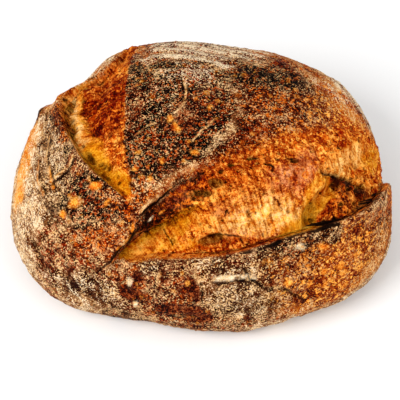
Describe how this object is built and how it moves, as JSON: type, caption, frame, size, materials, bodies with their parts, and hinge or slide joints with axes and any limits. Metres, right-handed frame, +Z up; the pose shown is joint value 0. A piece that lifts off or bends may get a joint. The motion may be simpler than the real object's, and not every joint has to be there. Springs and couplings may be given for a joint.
{
  "type": "sourdough loaf",
  "caption": "Round free-baked country loaf with a long burst cut along the front, a second one over the left shoulder, and a flat base to rest on.",
  "frame": {"origin": "middle of the loaf's box, at the level of the flat base", "axes": "+X along the loaf's long side, to the right of its long front cut; +Y to its back; +Z up"},
  "size_m": [0.2419, 0.2072, 0.1079],
  "materials": {
    "crust": "baked brown crust, matt, dusted with flour"
  },
  "bodies": {
    "root": {"loaf": "crust"}
  },
  "joints": []
}
